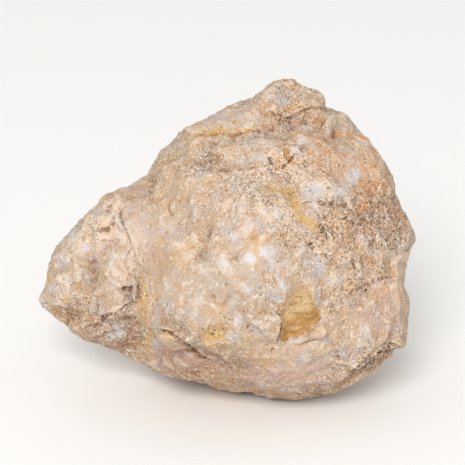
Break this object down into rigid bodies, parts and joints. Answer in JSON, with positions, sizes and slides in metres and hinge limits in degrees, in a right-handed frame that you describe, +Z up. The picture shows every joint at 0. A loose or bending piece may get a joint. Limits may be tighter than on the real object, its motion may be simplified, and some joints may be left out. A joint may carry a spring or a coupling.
{
  "type": "quartz geode",
  "caption": "Closed, lumpy quartz geode in its chalky tan rind, with a smaller lobe on one side, worn flat underneath so that it rests on a table.",
  "frame": {"origin": "centre of the bounding box in X and Y, at the height of the flat spot that it rests on", "axes": "+Z up; +X from the lobe's nose towards the main body, the longest way across; the side with the ochre scar faces -Y"},
  "size_m": [0.1208, 0.0992, 0.1001],
  "materials": {
    "rind": "dry, matt, chalky and gritty, with ochre clay stains and small white quartz patches"
  },
  "bodies": {
    "root": {"geode": "rind"}
  },
  "joints": []
}
